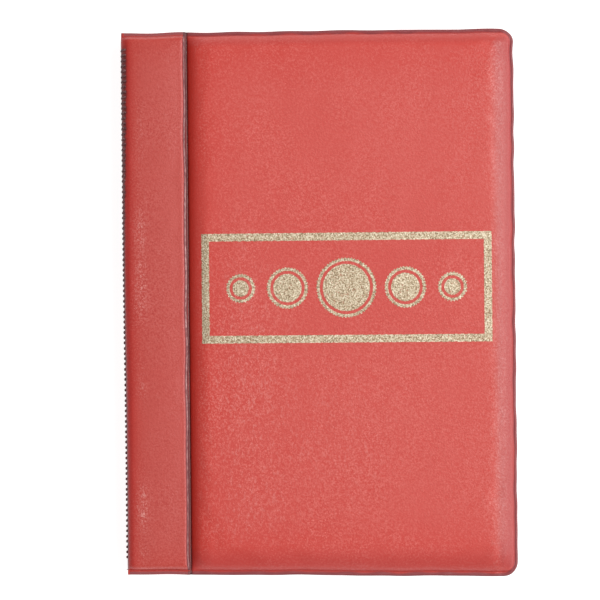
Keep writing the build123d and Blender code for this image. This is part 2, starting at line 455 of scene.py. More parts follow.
def thread():
    m, nt, bsdf, _ = new_mat("thread")
    co = coords(nt, (1, 1, 1))
    w = tex(nt, "ShaderNodeTexWave", 1500.0, co, Distortion=1.5, Detail=2.0)
    w.bands_direction = "DIAGONAL"
    n = tex(nt, "ShaderNodeTexNoise", 1200.0, co, Detail=3.0)
    f = maths(nt, "MULTIPLY", w.outputs["Fac"], n.outputs["Fac"])
    c = ramp(nt, f, [(0.05, (0.045, 0.014, 0.018)), (0.30, (0.15, 0.042, 0.046)), (0.6, (0.38, 0.17, 0.17))])
    nt.links.new(c, bsdf.inputs["Base Color"])
    bsdf.inputs["Roughness"].default_value = 0.72
    nt.links.new(bump(nt, w.outputs["Fac"], 0.7, 0.00012), bsdf.inputs["Normal"])
    return m


M_THREAD = thread()


def film():
    """Clear soft film: nearly invisible face on, whiter and glossier at a slant and along its welds."""
    m, nt, bsdf, _ = new_mat("clear_film")
    co = coords(nt)
    n = tex(nt, "ShaderNodeTexNoise", 95.0, co, Detail=2.0, Roughness=0.5)
    f = tex(nt, "ShaderNodeTexNoise", 700.0, co, Detail=2.0, Roughness=0.6)
    lw = nt.nodes.new("ShaderNodeLayerWeight")
    lw.inputs["Blend"].default_value = 0.25
    # painted reflection: the film turns more opaque and whiter at a slant
    slant = maths(nt, "MULTIPLY", lw.outputs["Facing"], 0.16)
    a = ramp(nt, f.outputs["Fac"], [(0.3, grey(0.035)), (0.75, grey(0.065))])
    weld = maths(nt, "MULTIPLY", attr(nt, "rim"), 0.17)
    nt.links.new(maths(nt, "ADD", maths(nt, "ADD", a, weld), slant), bsdf.inputs["Alpha"])
    c = mix(nt, attr(nt, "rim"), (0.82, 0.83, 0.85), (0.88, 0.80, 0.80))
    nt.links.new(c, bsdf.inputs["Base Color"])
    bsdf.inputs["Roughness"].default_value = 0.34
    bsdf.inputs["Coat Weight"].default_value = 0.25
    bsdf.inputs["Coat Roughness"].default_value = 0.16
    b = bump(nt, n.outputs["Fac"], 0.45, 0.0016)
    nt.links.new(b, bsdf.inputs["Normal"])
    return m


M_FILM = film()


def divider():
    m, nt, bsdf, _ = new_mat("divider_vinyl")
    co = coords(nt)
    n = tex(nt, "ShaderNodeTexNoise", 1300.0, co, Detail=3.0, Roughness=0.6)
    v = tex(nt, "ShaderNodeTexVoronoi", 1700.0, co)
    c = ramp(nt, n.outputs["Fac"], [(0.3, (0.335, 0.030, 0.028)), (0.7, (0.430, 0.050, 0.046))])
    nt.links.new(c, bsdf.inputs["Base Color"])
    bsdf.inputs["Roughness"].default_value = 0.5
    nt.links.new(bump(nt, v.outputs["Distance"], 0.4, -0.00008), bsdf.inputs["Normal"])
    return m


M_DIV = divider()


def board():
    m, nt, bsdf, _ = new_mat("grey_board")
    co = coords(nt, (1, 1, 2.5))
    n = tex(nt, "ShaderNodeTexNoise", 700.0, co, Detail=5.0, Roughness=0.7)
    b2 = tex(nt, "ShaderNodeTexNoise", 60.0, co, Detail=3.0, Roughness=0.6)
    c = ramp(nt, n.outputs["Fac"], [(0.25, (0.26, 0.22, 0.17)), (0.55, (0.42, 0.37, 0.30)), (0.8, (0.58, 0.53, 0.45))])
    d = ramp(nt, b2.outputs["Fac"], [(0.3, (0.85, 0.83, 0.80)), (0.7, (1, 1, 1))])
    nt.links.new(mix(nt, 1.0, c, d, "MULTIPLY"), bsdf.inputs["Base Color"])
    bsdf.inputs["Roughness"].default_value = 0.9
    nt.links.new(bump(nt, n.outputs["Fac"], 0.5, 0.0002), bsdf.inputs["Normal"])
    return m


M_BOARD = board()


def foam():
    m, nt, bsdf, _ = new_mat("foam")
    co = coords(nt)
    v = tex(nt, "ShaderNodeTexVoronoi", 1300.0, co)
    n = tex(nt, "ShaderNodeTexNoise", 220.0, co, Detail=3.0)
    c = ramp(nt, v.outputs["Distance"], [(0.0, (0.62, 0.58, 0.48)), (0.6, (0.80, 0.77, 0.68))])
    d = ramp(nt, n.outputs["Fac"], [(0.3, (0.9, 0.9, 0.88)), (0.7, (1, 1, 1))])
    nt.links.new(mix(nt, 1.0, c, d, "MULTIPLY"), bsdf.inputs["Base Color"])
    bsdf.inputs["Roughness"].default_value = 0.95
    nt.links.new(bump(nt, v.outputs["Distance"], 0.8, 0.0003), bsdf.inputs["Normal"])
    return m


M_FOAM = foam()


def floor_mat():
    m, nt, bsdf, _ = new_mat("studio_floor")
    co = coords(nt)
    n = tex(nt, "ShaderNodeTexNoise", 30.0, co, Detail=2.0)
    c = ramp(nt, n.outputs["Fac"], [(0.3, (0.44, 0.44, 0.44)), (0.7, (0.46, 0.46, 0.46))])
    nt.links.new(c, bsdf.inputs["Base Color"])
    bsdf.inputs["Roughness"].default_value = 0.85
    bsdf.inputs["Specular IOR Level"].default_value = 0.2
    bsdf.inputs["Emission Color"].default_value = (1, 1, 1, 1)
    bsdf.inputs["Emission Strength"].default_value = 0.87
    return m


M_FLOOR = floor_mat()

# --------------------------------------------------------------- front cover
broad_h = waves(3, 7, 38, 90)
mid_h = waves(5, 9, 9, 20)
edge_r = waves1(11, 6, 9, 44)
edge_t = waves1(12, 6, 10, 60)
edge_b = waves1(13, 6, 12, 60)


def roll(t, p=2.3, q=0.60):
    t = np.clip(t, 0, 1)
    return (1 - (1 - t) ** p) ** q


def cover_top(X, Y, D):
    """Height of the padded front cover at X, Y, with D in from its outline."""
    dr = X_FORE - X
    dt = HALF - Y
    db = HALF + Y
    s = roll((dr - 1.0) / 8.2, 2.3, 0.55) * roll((dt - 1.3) / 5.6, 2.2, 0.60) * roll((db - 1.9) / 7.4, 2.3, 0.62)
    s = s * np.clip((D - 1.0) / 1.2, 0, 1) ** 0.5
    xv = X - X_STRIP
    v = roll((xv - 0.15) / 8.6, 2.3, 1.0)
    h = CROWN - FLANGE
    z = FLANGE - 0.15 + (h + 0.15) * s * v
    crown = s * v
    z = z + crown * (0.035 * broad_h(X, Y) + 0.018 * mid_h(X, Y) - 0.05)
    # welded groove, and the flattened rim outside it
    z = z - 0.28 * gauss(D - 1.35, 0.35) * smooth(0, 0.5, xv)
    z = z - 0.35 * gauss(D, 0.30) - 0.30 * gauss(xv - 0.25, 0.35)
    # small puckers across the flange
    z = z + 0.06 * gauss(D - 1.0, 1.2) * mid_h(X * 2.1, Y * 2.1)
    return z


def outline(X, Y, k=1.0):
    """Slight waves in the welded outline, which is also not quite square."""
    wr = smooth(X_FORE - 14, X_FORE, X)
    wt = smooth(HALF - 14, HALF, Y)
    wb = smooth(HALF - 14, HALF, -Y)
    X2 = X + k * wr * 0.09 * edge_r(Y)
    Y2 = Y + k * (wt * 0.07 * edge_t(X) + wb * -0.07 * edge_b(X))
    Y2 = Y2 + wb * (0.50 * smooth(20, -72, X) - 0.50 * smooth(-10, 72, X)) - wt * 0.30 * smooth(0, 72, X)
    return X2, Y2


xs = lines(
    (-48.9, -47.2, 0.28), (-47.2, -40, 0.45), (-40, -34, 1.0), (-34, 60, 1.6), (60, 66, 0.8),
    (66, 70.0, 0.5), (70.0, 72, 0.2),
)
ys = lines(
    (-100, -97.6, 0.22), (-97.6, -93.5, 0.5), (-93.5, -88, 0.9), (-88, 88, 1.6), (88, 92.5, 0.9),
    (92.5, 97.6, 0.5), (97.6, 100, 0.22),
)
gx, gy = np.meshgrid(xs, ys)
gx, gy, gd = round_corners(gx, gy, X_FORE, HALF, CORNER)
gz = cover_top(gx, gy, gd)
ox, oy = outline(gx, gy)
flex = smooth(1.6, 6.0, gd) * smooth(-47.6, -42.0, gx)


def puff(name, P, hold, pressure, cap, frames=20):
    """Blows a padded sheet up against its welds with a cloth simulation, and returns how far each point rose."""
    ny, nx, _ = P.shape
    me = bpy.data.meshes.new(name)
    quads = [
        (j * nx + i, j * nx + i + 1, (j + 1) * nx + i + 1, (j + 1) * nx + i)
        for j in range(ny - 1)
        for i in range(nx - 1)
    ]
    me.from_pydata((P.reshape(-1, 3) * MM * 10).tolist(), [], quads)
    ob = bpy.data.objects.new(name, me)
    scene.collection.objects.link(ob)
    vg = ob.vertex_groups.new(name="held")
    for i, w in enumerate(hold.reshape(-1)):
        if w > 0.001:
            vg.add([i], float(w), "REPLACE")
    md = ob.modifiers.new("cloth", "CLOTH")
    st = md.settings
    st.quality = 5
    st.mass = 0.5
    st.tension_stiffness = 40
    st.compression_stiffness = 40
    st.shear_stiffness = 20
    st.bending_stiffness = 3.0
    st.air_damping = 3.0
    st.vertex_group_mass = "held"
    st.pin_stiffness = 2.0
    st.use_pressure = True
    st.uniform_pressure_force = pressure
    st.shrink_min = -0.012
    st.effector_weights.gravity = 0.0
    md.collision_settings.use_collision = False
    md.point_cache.frame_start = 1
    md.point_cache.frame_end = frames
    for f in range(1, frames + 1):
        scene.frame_set(f)
    ev = ob.evaluated_get(bpy.context.evaluated_depsgraph_get())
    got = np.empty(len(ev.data.vertices) * 3, np.float32)
    ev.data.vertices.foreach_get("co", got)
    got = got.reshape(ny, nx, 3) / (MM * 10)
    bpy.data.objects.remove(ob, do_unlink=True)
    bpy.data.meshes.remove(me)
    scene.frame_set(1)
    return np.clip(got[..., 2] - P[..., 2], -cap, cap)


def relax(a, rounds):
    """Softens a height field, as the foam under it does."""
    for _ in range(rounds):
        p = np.pad(a, 1, mode="edge")
        a = (p[1:-1, 1:-1] * 4 + p[:-2, 1:-1] + p[2:, 1:-1] + p[1:-1, :-2] + p[1:-1, 2:]) / 8
    return a


rise = puff("cover_blank", np.stack([ox, oy, gz], 2), 1 - flex, 0.6, 0.45)
print("cover rise mm", float(rise.min()), float(rise.max()), float(rise.std()))
gz = gz + 0.42 * relax(rise, 3) * flex
P = np.stack([ox, oy, gz], 2)
edge = gd + 0.12 * edge_t(gx * 1.7 + gy)
# the outer rim's own colour, and painted shade in the weld groove
rim = 0.97 * (1 - smooth(0.85, 1.9, edge))
painted_shade = gauss(gd - 1.7, 0.45) * 0.5
# the fore edge falls away from its crest, and the rim colour paints shade down the fall
fall = X_FORE - gx
rim = np.maximum(rim, (0.58 - 0.16 * smooth(2, 5, fall)) * smooth(9.4, 5.2, fall) * smooth(0, 5, HALF - np.abs(gy)))
# painted shade in the valley beside the strip
xv_ = gx - X_STRIP
painted_shade = painted_shade + 0.95 * (1 - smooth(0.2, 6.8, xv_))
# painted shadow: a near-black line along the strip's foot, and a thin one round the outline
seam_and_shadow = 0.80 * (1 - smooth(0.30, 0.85, xv_)) + 0.22 * gauss(gd - 0.2, 0.25)
# lighter grain and painted glints: patches low down and beside the strip, less at the upper right, and a line of
# painted glints near the fore-edge crest
glints_and_wear = 0.33 * gauss(gx + 28, 20) * smooth(40, -10, gy) * smooth(-96, -80, gy)
glints_and_wear = glints_and_wear + 0.26 * gauss(gx - 8, 26) * gauss(gy + 48, 26) + 0.20 * gauss(gx + 26, 9) * gauss(gy - 8, 34)
glints_and_wear = glints_and_wear - 0.14 * smooth(-10, 50, gx) * smooth(-20, 60, gy) + 0.34 * gauss(gx - 64.5, 2.6)
d_end = HALF - np.abs(gy)
# painted shade: darker along the tail, and the rim colour darkens a band along the head
low_end = smooth(13, 4.5, HALF + gy)
painted_shade = np.maximum(painted_shade, 0.22 * low_end)
rim = np.maximum(rim, np.maximum(0.24 * low_end, 0.20 * smooth(6.5, 4.0, HALF - gy)))
# painted light: sheen over the flat of the panel, brightest on the fore-edge crest and in a band along the head, with
# shade towards the edges and down into the valley by the strip
painted_light = 0.22 + 0.33 * smooth(7, 24, d_end) * smooth(4, 20, xv_)
painted_light = np.maximum(painted_light, 0.74 * smooth(12.5, 8.0, X_FORE - gx) * smooth(3, 16, d_end))
painted_light = np.maximum(painted_light, 0.62 * gauss(HALF - gy - 3.2, 1.8))
painted_light = painted_light * (1 - 0.8 * (1 - smooth(1.0, 9.0, xv_)))
cover_skin = slab(
    "front_cover_vinyl", P, 0.65, [M_VINYL],
    {
        "rim": np.clip(rim, 0, 1), "painted_shade": np.clip(painted_shade, 0, 1), "seam_and_shadow": np.clip(seam_and_shadow, 0, 1), "glints_and_wear": glints_and_wear,
        "painted_light": np.clip(painted_light, 0, 1),
    },
)


def on_cover(x, y):
    """Height of the finished cover under a point of the stamp, read off its grid."""
    X = np.asarray(x, float)
    Y = np.asarray(y, float)
    i = np.clip(np.searchsorted(xs, X) - 1, 0, len(xs) - 2)
    j = np.clip(np.searchsorted(ys, Y) - 1, 0, len(ys) - 2)
    u = (X - xs[i]) / (xs[i + 1] - xs[i])
    w = (Y - ys[j]) / (ys[j + 1] - ys[j])
    return (
        gz[j, i] * (1 - u) * (1 - w) + gz[j, i + 1] * u * (1 - w) + gz[j + 1, i] * (1 - u) * w + gz[j + 1, i + 1] * u * w
    )


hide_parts("front_cover_skin")
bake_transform(cover_skin)

# lining, with its weld groove on the inside face
lx = lines((-47.9, -42.4, 0.45), (-42.4, 64, 2.6), (64, 69.0, 0.8), (69.0, 72, 0.3))
ly = lines((-100, -96, 0.35), (-96, -91, 0.9), (-91, 91, 2.6), (91, 96, 0.9), (96, 100, 0.35))
lgx, lgy = np.meshgrid(lx, ly)
lgx, lgy, lgd = round_corners(lgx, lgy, X_FORE, HALF, CORNER)
lox, loy = outline(lgx, lgy)
groove = 0.16 * gauss(lgd - 1.9, 0.6) + 0.03 * gauss(lgd - 4.5, 3) * mid_h(lgx, lgy)
# it meets the outer vinyl along the hinge, with a second weld beside the board
hinge_up = 0.28 * (1 - smooth(-47.9, -45.4, lgx)) + 0.22 * gauss(lgx + 44.2, 0.5)
under = np.stack([lox, loy, 13.2 + np.maximum(groove, hinge_up)], 2)
upper = np.stack([lox, loy, 13.64 + 0 * groove], 2)
# painted shade in the lining's weld groove and along the hinge weld
lining = slab(
    "front_cover_inner_vinyl", under[::-1], 0.4, [M_LINING],
    {
        "rim": (0.9 * (1 - smooth(0.4, 1.1, lgd)))[::-1],
        "painted_shade": np.clip(gauss(lgd - 1.9, 0.6) * 0.6 + 0.7 * gauss(lgx + 44.2, 0.5), 0, 1)[::-1],
        "painted_light": (0.45 + 0 * lgd)[::-1],
    },
    inner=upper[::-1],
)
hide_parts("front_cover_lining")
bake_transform(lining)

# foam pad under the vinyl, following its crown
fx = lines((-42.9, -38, 0.8), (-38, 62, 3.0), (62, 68.3, 0.8))
fy = lines((-96.4, -90, 0.9), (-90, 90, 3.0), (90, 96.4, 0.9))
fgx, fgy = np.meshgrid(fx, fy)
ftop = on_cover(fgx, fgy) - 0.72
ftop = np.maximum(ftop, 15.2)
fP = np.stack([fgx, fgy, ftop], 2)
fQ = np.stack([fgx, fgy, 0 * ftop + 15.1], 2)
pad = slab("front_cover_pad", fP, 1.0, [M_FOAM], inner=fQ)
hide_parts("front_cover_foam")
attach(pad, "front_cover")

# ---------------------------------------------------------------- foil stamp
FX0, FX1, FY0, FY1, BAR = -42.6, 63.2, -14.5, 25.6, 2.8
FCX, FCY = (FX0 + FX1) / 2, (FY0 + FY1) / 2
FOIL_UP = 0.045
ragged = waves1(21, 12, 0.8, 4.0)
foil_v, foil_f = [], []


def foil_patch(rows):
    """rows: (n, m, 2) points in the cover's plane, laid on the vinyl as a thin closed film."""
    global foil_v, foil_f
    n, m, _ = rows.shape
    z = on_cover(rows[..., 0], rows[..., 1])
    top = np.dstack([rows, z + FOIL_UP])
    bot = np.dstack([rows, z - 0.02])
    base = len(foil_v)
    foil_v.extend(top.reshape(-1, 3).tolist())
    foil_v.extend(bot.reshape(-1, 3).tolist())
    o = n * m
    return base, o, n, m


def patch_faces(base, o, n, m, closed, pole=None):
    cols = m if closed else m - 1
    for j in range(n - 1):
        for i in range(cols):
            i2 = (i + 1) % m
            a, b, c, d = base + j * m + i, base + j * m + i2, base + (j + 1) * m + i2, base + (j + 1) * m + i
            foil_f.append((a, b, c, d))
            foil_f.append((o + d, o + c, o + b, o + a))
    for i in range(cols):
        i2 = (i + 1) % m
        a, b = base + i, base + i2
        if pole is None:
            foil_f.append((b, a, o + a, o + b))
        else:
            foil_f.append((a, b, pole)[::-1])
            foil_f.append((o + a, o + b, pole + 1))
        a, b = base + (n - 1) * m + i, base + (n - 1) * m + i2
        foil_f.append((a, b, o + b, o + a))
    if not closed:
        for j in range(n - 1):
            a, d = base + j * m, base + (j + 1) * m
            foil_f.append((a, d, o + d, o + a))
            a, d = base + j * m + m - 1, base + (j + 1) * m + m - 1
            foil_f.append((d, a, o + a, o + d))


def rect_loop(x0, x1, y0, y1, step):
    a = np.arange(x0, x1, step)
    b = np.arange(y0, y1, step)
    na, nb = max(2, int((x1 - x0) / step)), max(2, int((y1 - y0) / step))
    t = np.linspace(0, 1, na, endpoint=False)
    u = np.linspace(0, 1, nb, endpoint=False)
    pts = [np.stack([x0 + (x1 - x0) * t, y0 + 0 * t], 1)]
    pts.append(np.stack([x1 + 0 * u, y0 + (y1 - y0) * u], 1))
    pts.append(np.stack([x1 - (x1 - x0) * t, y1 + 0 * t], 1))
    pts.append(np.stack([x0 + 0 * u, y1 - (y1 - y0) * u], 1))
    return np.concatenate(pts)


# border: loops with the same number of points, from outside in, so the mesh is even
NL_X, NL_Y = 150, 56


def rect_loop_n(x0, x1, y0, y1, na, nb):
    t = np.linspace(0, 1, na, endpoint=False)
    u = np.linspace(0, 1, nb, endpoint=False)
    return np.concatenate(
        [
            np.stack([x0 + (x1 - x0) * t, y0 + 0 * t], 1),
            np.stack([x1 + 0 * u, y0 + (y1 - y0) * u], 1),
            np.stack([x1 - (x1 - x0) * t, y1 + 0 * t], 1),
            np.stack([x0 + 0 * u, y1 - (y1 - y0) * u], 1),
        ]
    )


loops = []
for k in range(5):
    e = BAR * k / 4
    L = rect_loop_n(FX0 + e, FX1 - e, FY0 + e, FY1 - e, NL_X, NL_Y)
    if k in (0, 4):
        tt = np.arange(len(L)) * 0.72
        j = 0.055 * ragged(tt + 31 * k)
        cvec = L - np.array([[FCX, FCY]])
        nx_ = np.where(np.abs(cvec[:, 0]) / (FX1 - FX0) > np.abs(cvec[:, 1]) / (FY1 - FY0), np.sign(cvec[:, 0]), 0)
        ny_ = np.where(nx_ == 0, np.sign(cvec[:, 1]), 0)
        L = L + np.stack([nx_ * j, ny_ * j], 1)
    loops.append(L)
rows = np.array(loops)[::-1]
b_, o_, n_, m_ = foil_patch(rows)
foil_f_start = len(foil_f)
patch_faces(b_, b_ * 0 + o_, n_, m_, True)


def ring(cx_, cy_, r0, r1, seed, teeth=0, depth=0.0):
    """An annulus or disc (r0 = 0) of foil; teeth gives a reeded outer edge."""
    m = max(48, int(2 * np.pi * r1 / 0.35))
    if teeth:
        m = teeth * 8
    th = np.linspace(0, 2 * np.pi, m, endpoint=False)
    n = 5
    rad = np.linspace(max(r0, 0.25 * r1), r1, n)
    out = []
    for k, r in enumerate(rad):
        rr = r + 0 * th
        if k == n - 1:
            if teeth:
                rr = rr - depth * (0.5 + 0.5 * np.sign(np.cos(teeth * th)))
            rr = rr + 0.04 * ragged(th * r1 + seed)
        if k == 0 and r0 > 0:
            rr = rr + 0.04 * ragged(th * r1 + seed + 50)
        out.append(np.stack([cx_ + rr * np.cos(th), cy_ + rr * np.sin(th)], 1))
    b, o, n2, m2 = foil_patch(np.array(out))
    pole = None
    if r0 == 0:
        pole = len(foil_v)
        zc = float(on_cover(cx_, cy_))
        foil_v.append([cx_, cy_, zc + FOIL_UP])
        foil_v.append([cx_, cy_, zc - 0.02])
    patch_faces(b, o, n2, m2, True, pole)


for dx, r in ((0.0, 11.0), (21.5, 7.6), (38.6, 5.4)):
    for side in (-1, 1) if dx else (1,):
        c0 = FCX + side * dx
        ring(c0, FCY, r - 1.3, r, 10 * r + side, teeth=int(round(r * 5.2)), depth=0.42)
        ring(c0, FCY, 0.0, r - 2.4, 20 * r + side)
stamp = make("front_foil", foil_v, foil_f, [M_FOIL])
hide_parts("front_foil_stamp")
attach(stamp, "front_cover")

# ------------------------------------------------------------- binding strip
spine_r = waves1(31, 5, 18, 60)
strip_r = waves1(32, 5, 16, 55)
prof = []  # (x, z, kind) across the strip, from the spine face over to the free edge
SY = lines((-100, -97.2, 0.28), (-97.2, -94, 0.48), (-94, 94, 0.64), (94, 97.2, 0.48), (97.2, 100, 0.28))


def lean(y):
    """The sewn edge isn't quite true: it leans inwards towards the tail."""
    return 0.45 * smooth(30, -60, np.asarray(y, float))


def strip_profile():
    pts = [(-71.6, 14.35, 0), (-71.6, 14.8, 0)]
    for a in np.linspace(6, 90, 12):
        t = math.radians(a)
        pts.append((-68.2 - 3.4 * math.cos(t), 14.9 + 2.80 * math.sin(t), 0))
    for x in (-66.5, -64.5, -62.5, -60.5, -58.5, -56.5, -54.5, -53.0, -51.8, -51.0, -50.5):
        u = (x + 59.5) / 9.5
        pts.append((x, 17.68 + 0.22 * (1 - u * u), 0))
    pts += [(-49.80, 17.70, 0), (-49.50, 17.64, 0), (-49.30, 17.50, 0), (-49.18, 17.28, 0)]
    # turned-in lip, the seam behind it, and the ridge of the backing below
    pts += [(-49.13, 17.00, 1), (-49.16, 16.74, 1), (-49.06, 16.52, 1), (-48.82, 16.42, 1), (-48.58, 16.28, 1)]
    pts += [(-48.42, 16.02, 1), (-48.34, 15.60, 1), (-48.27, 15.10, 1), (-48.20, 14.65, 1), (-48.18, 14.30, 1)]
    return pts


prof = strip_profile()
px_ = np.array([p[0] for p in prof])
pz_ = np.array([p[1] for p in prof])
kinds = [p[2] for p in prof]
px_ = px_ + 0.20 * smooth(-56, -49.6, px_) * (1 - smooth(-48.9, -48.2, px_))
SX, SYg = np.meshgrid(px_, SY)
SZ = np.tile(pz_, (len(SY), 1))
dy_end = HALF - np.abs(SYg)
s_end = np.where(SYg > 0, roll((dy_end - 1.4) / 2.2), roll((dy_end - 1.9) / 2.6))
base = FLANGE - 0.05
SZ = base + (SZ - base) * np.where(SZ > base, s_end, 1.0) + 0.10 * gauss(dy_end - 0.8, 0.6) * (SZ > base + 0.2)
SZ = SZ - 0.09 * gauss(dy_end - 1.9, 0.45) * (SZ > base + 0.05)
wfree = smooth(-56, -49.5, SX)
SX = SX + wfree * 0.10 * strip_r(SYg) * s_end
SX = SX - 0.32 * smooth(-70.2, -71.5, SX) * smooth(-60, 100, SYg)
SX = SX + lean(SYg) * smooth(-66, -71.5, SX)
flat = smooth(-70.5, -66, SX) * (1 - smooth(-52, -50, SX)) * s_end
SZ = SZ + flat * (0.035 * broad_h(SX * 1.3, SYg) + 0.018 * mid_h(SX, SYg))
s_flex = smooth(-70.4, -67.0, SX) * (1 - smooth(-52.5, -50.6, SX)) * s_end
s_rise = puff("strip_blank", np.stack([SX, SYg, SZ], 2), 1 - s_flex, 0.5, 0.35)
print("strip rise mm", float(s_rise.min()), float(s_rise.max()), float(s_rise.std()))
SZ = SZ + 0.40 * relax(s_rise, 3) * s_flex
# the vinyl dips where each stitch pulls it in
st = 0.5 + 0.5 * np.cos(2 * np.pi * (SYg / PITCH + 0.5))
inrun = (np.abs(SYg) < 93.6).astype(float)
pull = gauss(SX + 70.0, 1.1) * st**3 * inrun
SZ = SZ - 0.20 * pull * (SX < -68)
SX = SX + 0.10 * (SX < -70.8) * st * inrun
# outline waves at head and tail, shared with the cover
_, SYo = outline(SX, SYg)
SP = np.stack([SX, SYo, SZ], 2)
n_free = len(px_)
kk = np.array(kinds)
cols = np.arange(n_free)
first_cut = int(np.argmax(kk == 1))
mid_y = 0.35 + 0.65 * gauss(SYg - 6, 46)
top_y = 1.0 - 0.40 * smooth(0, 70, SYg)
# painted shade: the rim colour darkens the lip of the strip, less towards the head
s_rim = 0.80 * gauss(cols[None, :] - (first_cut - 1.3), 1.2) * top_y
s_rim = s_rim + 0.95 * gauss(cols[None, :] - (first_cut + 4.0), 1.3) * mid_y
# painted shade in the groove behind the lip and down the gap at the strip's foot
s_painted_shade = 0.35 * gauss(cols[None, :] - (first_cut + 1.2), 1.1) + 0 * SX
s_painted_shade = s_painted_shade + smooth(first_cut + 7, n_free - 1, cols)[None, :] * 0.75
s_rim = np.maximum(s_rim * s_end, 0.92 * (1 - smooth(0.8, 1.45, dy_end)) * (kk == 0)[None, :])
s_rim = np.maximum(s_rim, 0.85 * gauss(SX - lean(SYg) + 71.25, 0.38) * smooth(85, 20, SYg) * (SZ > 14.6))
# painted shade in the end welds' grooves and over the strip's rounded edge by the spine
s_painted_shade = np.maximum(s_painted_shade, 0.50 * gauss(dy_end - 1.8, 0.45))
s_painted_shade = np.maximum(s_painted_shade, 0.95 * (1 - smooth(-70.6, -66.6, SX)))
# the stitched band is wide at the head and narrows to the tail; its near-black colour also paints the shadow between
# the stitches and in their dimples
band = -71.65 + lean(SYg) + 1.75 * smooth(-10, 96, SYg) + 0.12 * strip_r(SYg * 5.0)
s_seam_and_shadow = (1 - smooth(-0.1, 0.75, SX - band)) * smooth(96.5, 91.0, np.abs(SYg)) * (0.62 + 0.30 * st)
s_seam_and_shadow = np.maximum(s_seam_and_shadow, 0.6 * pull * (SX < band + 0.6))
# painted glints: a line of bright specks along the strip's crown, in runs down its length
glint_runs = sum(gauss(SYg - c, w) * a for c, w, a in ((27, 7, 1.0), (12, 6, 0.8), (2, 7, 1.0), (-30, 9, 0.4), (-74, 8, 1.1), (-92, 3, 0.5), (62, 12, 0.35)))
s_glints = 1.2 * gauss(SX + 64.9, 1.8) * glint_runs - 0.10
# painted light on the strip: sheen on its flat, less over the rounded edge by the spine and towards the ends
strip = slab(
    "binding_strip_vinyl", SP, 0.6, [M_STRIP, M_CUT],
    {"rim": np.clip(s_rim, 0, 1), "painted_shade": np.clip(s_painted_shade, 0, 1), "seam_and_shadow": np.clip(s_seam_and_shadow, 0, 1), "glints_and_wear": s_glints,
     "painted_light": np.clip(0.56 * smooth(-70.5, -63, SX) * (0.45 + 0.55 * smooth(3, 14, dy_end)), 0, 1)},
    index_fn=lambda j, i: 1 if kk[i] == 1 else 0,
)
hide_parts("binding_strip_skin")
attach(strip, "root")

# foam under the strip
sfx = lines((-70.2, -68, 0.5), (-68, -52, 2.0), (-52, -50.6, 0.5))
sfy = lines((-96.5, -92, 1.0), (-92, 92, 4.0), (92, 96.5, 1.0))
sgx, sgy = np.meshgrid(sfx, sfy)
u_ = (sgx + 59.5) / 9.5
stop = np.where(sgx < -68.2, 14.9 + 2.8 * np.sqrt(np.clip(1 - ((sgx + 68.2) / 3.3) ** 2, 0, 1)), 17.70 + 0.22 * (1 - u_ * u_)) - 0.75
se = np.where(sgy > 0, roll((HALF - np.abs(sgy) - 1.4) / 2.2), roll((HALF - np.abs(sgy) - 1.9) / 2.6))
stop = base + (stop - base) * se
stop = np.maximum(stop - 0.1, 16.02)
pad2 = slab(
    "binding_strip_pad", np.stack([sgx, sgy, stop], 2), 1.0, [M_FOAM], inner=np.stack([sgx, sgy, 0 * stop + 16.0], 2)
)
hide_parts("binding_strip_foam")
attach(pad2, "root")

# ----------------------------------------------------------- spine and thread
TY = lines((-100, -94.2, 0.8), (-94.2, 94.2, 0.48), (94.2, 100, 0.8))
TZ = lines((3.3, 5, 0.6), (5, 13, 1.0), (13, 14.5, 0.6))
tgy, tgz = np.meshgrid(TY, TZ)
tst = 0.5 + 0.5 * np.cos(2 * np.pi * (tgy / PITCH + 0.5))
tin = (np.abs(tgy) < 93.8).astype(float)
tgx = -71.5 + lean(tgy) + 0.16 * tst * tin + 0.05 * mid_h(tgy, tgz * 3)
_, tgyo = outline(0 * tgy - 71.5, tgy)
# painted shade on the spine tape, more where the thread crosses it, with painted light kept low
tape = slab(
    "spine_tape_vinyl", np.stack([tgx, tgyo, tgz], 2)[:, ::-1], 0.6, [M_STRIP],
    {"rim": 0 * tgx, "painted_shade": (0.35 + 0.45 * tst * tin)[:, ::-1], "painted_light": 0.3 + 0 * tgx},
)
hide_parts("spine_tape")
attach(tape, "root")

